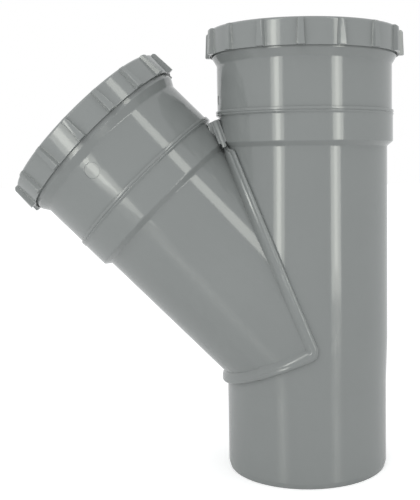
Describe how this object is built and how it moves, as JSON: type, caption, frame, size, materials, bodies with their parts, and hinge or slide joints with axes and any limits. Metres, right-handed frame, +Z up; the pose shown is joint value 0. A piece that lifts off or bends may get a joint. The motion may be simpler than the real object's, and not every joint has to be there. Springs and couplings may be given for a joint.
{
  "type": "forty-five degree pipe branch",
  "caption": "Soil pipe branch with a plain spigot, a ring seal socket on top and an equal one on a side leg at forty-five degrees, each under a ribbed clip-on cap.",
  "frame": {"origin": "centre of the flat end of the plain spigot, on which the fitting stands", "axes": "+Z up the straight pipe towards the top socket; the side leg leans towards -X in the XZ plane"},
  "size_m": [0.262, 0.1342, 0.2972],
  "materials": {
    "moulded_grey": "glossy moulded",
    "cap_grey": "satin gloss moulded",
    "seal_rubber": "matte"
  },
  "bodies": {
    "root": {"branch_body": "moulded_grey", "top_ring_seal": "seal_rubber", "side_ring_seal": "seal_rubber", "top_retaining_cap": "cap_grey", "side_retaining_cap": "cap_grey"}
  },
  "joints": []
}
